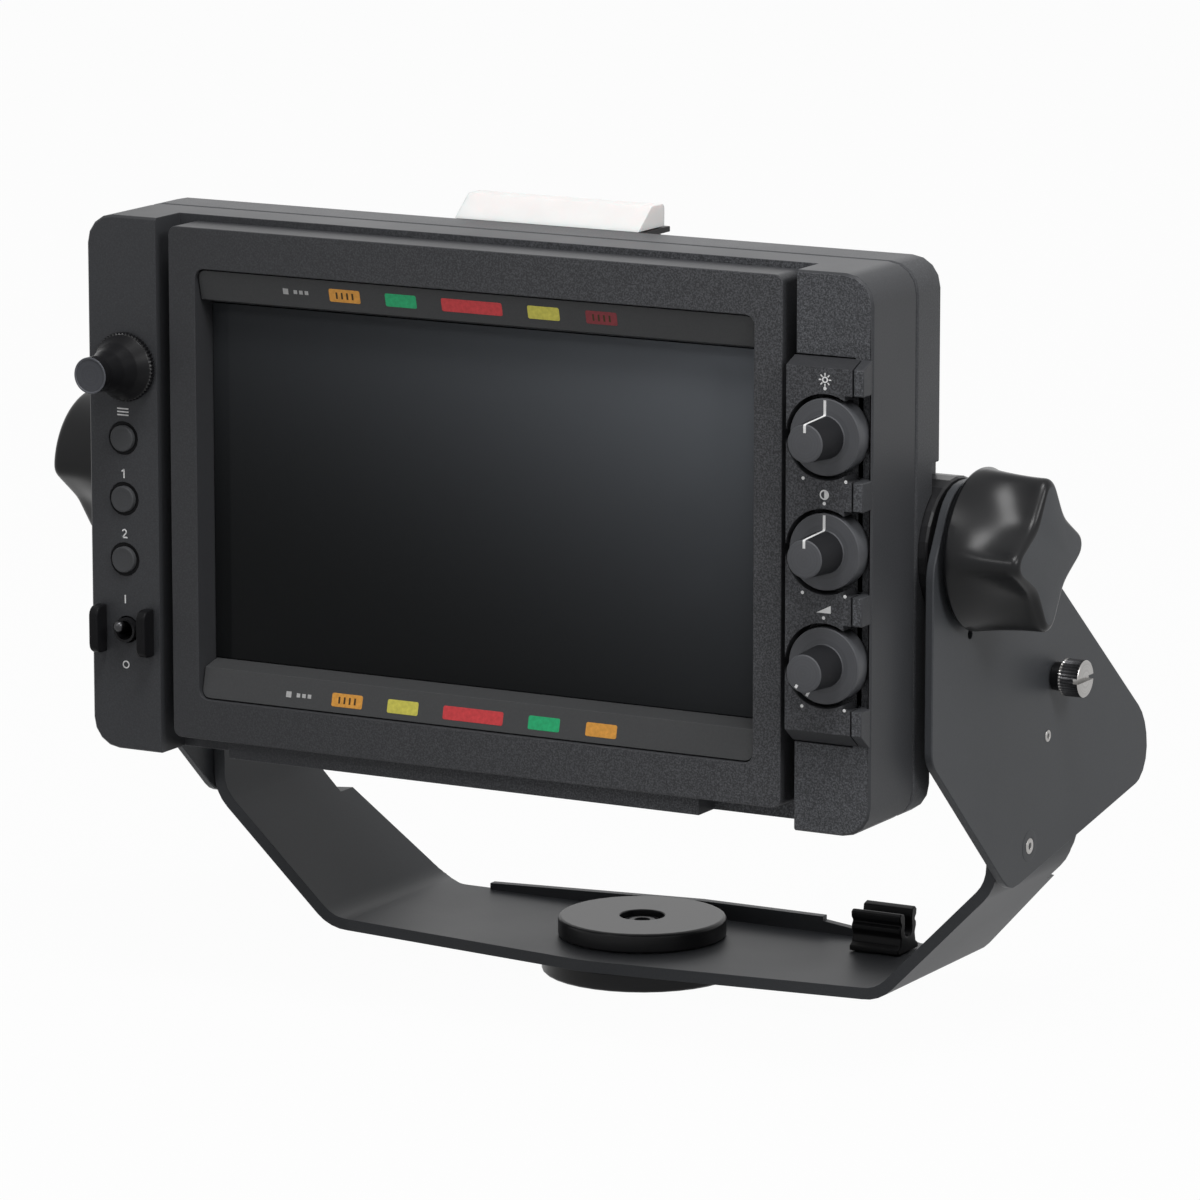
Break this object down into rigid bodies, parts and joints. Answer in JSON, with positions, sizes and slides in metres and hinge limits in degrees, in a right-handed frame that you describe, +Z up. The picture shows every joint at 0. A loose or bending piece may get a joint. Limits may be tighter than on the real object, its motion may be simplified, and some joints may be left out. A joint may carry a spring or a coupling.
{
  "type": "electronic viewfinder",
  "caption": "Tilting flat screen in a moulded housing with control knobs, carried between side plates on a folded U bracket that swivels on a base disc",
  "frame": {"origin": "centre of the base disc's lower face", "axes": "+Z up, -Y is the side that the screen faces, +X is on the viewer's right"},
  "size_m": [0.2738, 0.1628, 0.2056],
  "materials": {
    "housing_plastic": "charcoal moulded plastic with a fine pebble grain",
    "bezel_plastic": "charcoal moulded plastic, slightly smoother",
    "panel_plastic": "charcoal pebbled plastic",
    "bracket_paint": "satin dark grey powder coat on folded sheet",
    "plate_paint": "satin dark grey powder coat",
    "black_metal": "black anodised, turned",
    "steel": "bright steel",
    "nickel": "nickel plated, knurled",
    "knob_plastic": "satin black plastic",
    "screen_glass": "dark anti-reflection screen front",
    "lcd_black": "dark panel",
    "lamp_white": "milky translucent lamp lens",
    "board_green": "circuit board",
    "part_black": "black moulded plastic",
    "washer_nylon": "black nylon"
  },
  "bodies": {
    "base": {"base_disc": "black_metal", "swivel_washer": "washer_nylon", "swivel_cap": "black_metal", "pivot_screw": "black_metal"},
    "bracket": {"u_bracket": "bracket_paint", "cable_clamp": "part_black", "right_side_plate": "plate_paint", "left_side_plate": "plate_paint"},
    "monitor": {"backlight_tray": "steel", "bezel_frame": "bezel_plastic", "button_board": "board_green", "connector_insert": "part_black", "connector_socket": "steel", "dial_encoder": "steel", "display_glass": "screen_glass", "electronics_housing": "housing_plastic", "front_housing": "housing_plastic", "function_button_1_switch": "part_black", "function_button_2_switch": "part_black", "inner_toggle_guard": "housing_plastic", "knob_panel": "panel_plastic", "lamp_leg": "housing_plastic", "lcd_panel": "lcd_black", "left_pivot_boss": "black_metal", "left_tilt_washer": "washer_nylon", "lower_knob_potentiometer": "steel", "lower_light_strip": "bezel_plastic", "main_board": "board_green", "menu_button_switch": "part_black", "middle_knob_potentiometer": "steel", "outer_toggle_guard": "housing_plastic", "power_switch_body": "part_black", "processor_board": "board_green", "rear_cover": "housing_plastic", "right_pivot_boss": "black_metal", "right_tilt_washer": "washer_nylon", "tally_lamp_base": "part_black", "tally_lamp_lens": "lamp_white", "upper_knob_potentiometer": "steel", "upper_light_strip": "bezel_plastic"},
    "right_knob": {"right_tilt_knob": "knob_plastic", "right_knob_washer": "black_metal", "right_tilt_stud": "steel"},
    "left_knob": {"left_tilt_knob": "knob_plastic", "left_knob_washer": "black_metal", "left_tilt_stud": "steel"},
    "thumbscrew": {"right_thumbscrew": "nickel"},
    "upper_control": {"upper_knob": "knob_plastic"},
    "middle_control": {"middle_knob": "knob_plastic"},
    "lower_control": {"lower_knob": "knob_plastic"},
    "dial": {"menu_dial": "knob_plastic"},
    "menu_key": {"menu_button": "knob_plastic"},
    "function_key_1": {"function_button_1": "knob_plastic"},
    "function_key_2": {"function_button_2": "knob_plastic"},
    "power_lever": {"power_toggle": "steel"}
  },
  "joints": [
    {"name": "swivel", "type": "hinge", "parent": "base", "child": "bracket", "pos_m": [0, 0, 0.0061], "axis": [0, 0, 1], "range_deg": [-90, 90]},
    {"name": "tilt", "type": "hinge", "parent": "bracket", "child": "monitor", "pos_m": [0, -0.0463, 0.1288], "axis": [1, 0, 0], "range_deg": [-60, 60]},
    {"name": "right_knob_turn", "type": "hinge", "parent": "monitor", "child": "right_knob", "pos_m": [0.116, -0.0463, 0.1288], "axis": [1, 0, 0], "range_deg": [0, 360]},
    {"name": "left_knob_turn", "type": "hinge", "parent": "monitor", "child": "left_knob", "pos_m": [-0.116, -0.0463, 0.1288], "axis": [-1, 0, 0], "range_deg": [0, 360]},
    {"name": "thumbscrew_turn", "type": "hinge", "parent": "bracket", "child": "thumbscrew", "pos_m": [0.116, 0.0012, 0.0887], "axis": [1, 0, 0], "range_deg": [0, 720]},
    {"name": "upper_knob_turn", "type": "hinge", "parent": "monitor", "child": "upper_control", "pos_m": [0.0996, -0.0888, 0.1617], "axis": [0, 1, 0], "range_deg": [-150, 150]},
    {"name": "middle_knob_turn", "type": "hinge", "parent": "monitor", "child": "middle_control", "pos_m": [0.0996, -0.0888, 0.1341], "axis": [0, 1, 0], "range_deg": [-150, 150]},
    {"name": "lower_knob_turn", "type": "hinge", "parent": "monitor", "child": "lower_control", "pos_m": [0.0996, -0.0888, 0.1065], "axis": [0, 1, 0], "range_deg": [0, 300]},
    {"name": "dial_turn", "type": "hinge", "parent": "monitor", "child": "dial", "pos_m": [-0.0988, -0.0888, 0.1625], "axis": [0, 1, 0], "continuous": true},
    {"name": "menu_key_press", "type": "slide", "parent": "monitor", "child": "menu_key", "axis": [0, 1, 0], "range_m": [0, 0.001], "stiffness_N_per_m": 300},
    {"name": "function_key_1_press", "type": "slide", "parent": "monitor", "child": "function_key_1", "axis": [0, 1, 0], "range_m": [0, 0.001], "stiffness_N_per_m": 300},
    {"name": "function_key_2_press", "type": "slide", "parent": "monitor", "child": "function_key_2", "axis": [0, 1, 0], "range_m": [0, 0.001], "stiffness_N_per_m": 300},
    {"name": "power_flip", "type": "hinge", "parent": "monitor", "child": "power_lever", "pos_m": [-0.0994, -0.0858, 0.0954], "axis": [1, 0, 0], "range_deg": [0, 24]}
  ]
}
